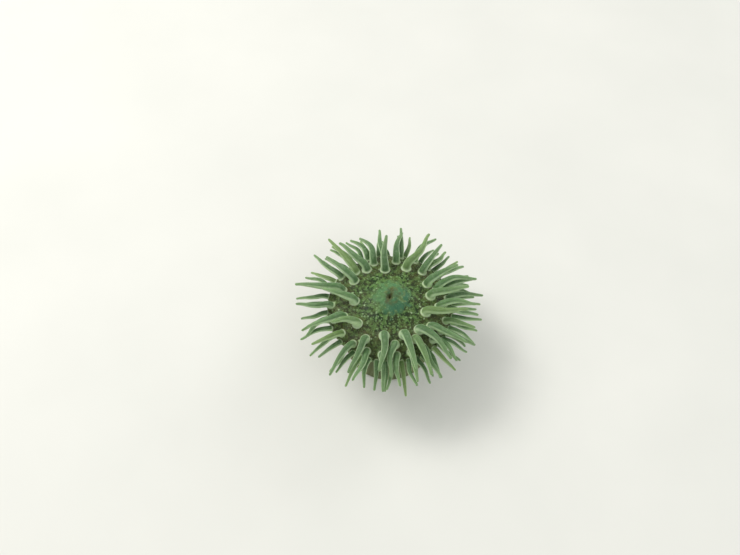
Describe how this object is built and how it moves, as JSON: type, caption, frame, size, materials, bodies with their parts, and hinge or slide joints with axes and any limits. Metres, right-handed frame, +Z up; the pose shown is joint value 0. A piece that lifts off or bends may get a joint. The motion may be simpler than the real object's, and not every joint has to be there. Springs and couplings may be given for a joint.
{
  "type": "sea anemone",
  "caption": "Life-size still model of a green-brown sea anemone with its crown spread, standing on its flat pedal disc.",
  "frame": {"origin": "centre of the pedal disc's flat underside, on the floor", "axes": "+Z up along the column; -Y is the side the picture was taken from, +X its right"},
  "size_m": [0.0613, 0.0623, 0.0337],
  "materials": {
    "foot_flesh": "wet pale buff flesh",
    "column_flesh": "wet olive-buff flesh with pale suckers and streaks",
    "disc_flesh": "wet olive-brown flesh, mottled and flecked",
    "cone_flesh": "wet teal-green flesh",
    "lips_flesh": "wet reddish-brown flesh",
    "tentacle_flesh": "wet translucent grey-green flesh"
  },
  "bodies": {
    "root": {"pedal_disc": "foot_flesh", "column_lower": "column_flesh", "column_middle": "column_flesh", "column_upper": "column_flesh", "oral_disc": "disc_flesh", "oral_cone": "cone_flesh", "lips": "lips_flesh", "margin_01": "tentacle_flesh", "margin_02": "tentacle_flesh", "margin_03": "tentacle_flesh", "margin_04": "tentacle_flesh", "margin_05": "tentacle_flesh", "margin_06": "tentacle_flesh", "margin_07": "tentacle_flesh", "margin_08": "tentacle_flesh", "margin_09": "tentacle_flesh", "margin_10": "tentacle_flesh", "margin_11": "tentacle_flesh", "margin_12": "tentacle_flesh", "margin_13": "tentacle_flesh", "margin_14": "tentacle_flesh", "margin_15": "tentacle_flesh", "margin_16": "tentacle_flesh", "margin_17": "tentacle_flesh", "margin_18": "tentacle_flesh", "margin_19": "tentacle_flesh", "margin_20": "tentacle_flesh", "margin_21": "tentacle_flesh", "margin_22": "tentacle_flesh", "margin_23": "tentacle_flesh", "margin_24": "tentacle_flesh", "tentacle_inner_01": "tentacle_flesh", "tentacle_inner_02": "tentacle_flesh", "tentacle_inner_03": "tentacle_flesh", "tentacle_inner_04": "tentacle_flesh", "tentacle_inner_05": "tentacle_flesh", "tentacle_inner_06": "tentacle_flesh", "tentacle_inner_07": "tentacle_flesh", "tentacle_inner_08": "tentacle_flesh", "tentacle_inner_09": "tentacle_flesh", "tentacle_inner_10": "tentacle_flesh", "tentacle_inner_11": "tentacle_flesh", "tentacle_inner_12": "tentacle_flesh", "tentacle_second_01": "tentacle_flesh", "tentacle_second_02": "tentacle_flesh", "tentacle_second_03": "tentacle_flesh", "tentacle_second_04": "tentacle_flesh", "tentacle_second_05": "tentacle_flesh", "tentacle_second_06": "tentacle_flesh", "tentacle_second_07": "tentacle_flesh", "tentacle_second_08": "tentacle_flesh", "tentacle_second_09": "tentacle_flesh", "tentacle_second_10": "tentacle_flesh", "tentacle_second_11": "tentacle_flesh", "tentacle_second_12": "tentacle_flesh"}
  },
  "joints": []
}
